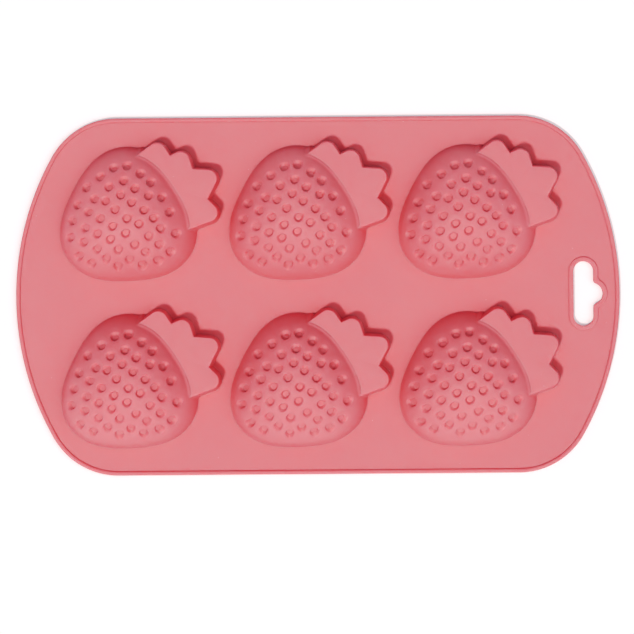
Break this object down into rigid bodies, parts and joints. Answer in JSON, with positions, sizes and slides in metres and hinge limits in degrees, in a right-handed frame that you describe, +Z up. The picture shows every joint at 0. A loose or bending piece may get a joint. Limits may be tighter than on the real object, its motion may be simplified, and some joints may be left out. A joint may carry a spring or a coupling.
{
  "type": "silicone soap mould",
  "caption": "Flexible silicone soap mould: a flat deck with a raised lip and a hang slot, carrying rows of strawberry-shaped cups with leaf crowns, shown open side down.",
  "frame": {"origin": "middle of the flat open pouring face, which is the lowest face: the mould lies open side down", "axes": "+X along the length, towards the hang slot; +Y across the width; +Z up, the way the cups bulge; it is turned over about X to be filled"},
  "size_m": [0.3, 0.1774, 0.027],
  "materials": {
    "silicone": "satin"
  },
  "bodies": {
    "root": {"mould_deck": "silicone", "border_bead": "silicone", "hang_slot_collar": "silicone", "fruit_cup_1": "silicone", "leaf_crown_1": "silicone", "seed_studs_1": "silicone", "fruit_cup_2": "silicone", "leaf_crown_2": "silicone", "seed_studs_2": "silicone", "fruit_cup_3": "silicone", "leaf_crown_3": "silicone", "seed_studs_3": "silicone", "fruit_cup_4": "silicone", "leaf_crown_4": "silicone", "seed_studs_4": "silicone", "fruit_cup_5": "silicone", "leaf_crown_5": "silicone", "seed_studs_5": "silicone", "fruit_cup_6": "silicone", "leaf_crown_6": "silicone", "seed_studs_6": "silicone"}
  },
  "joints": []
}
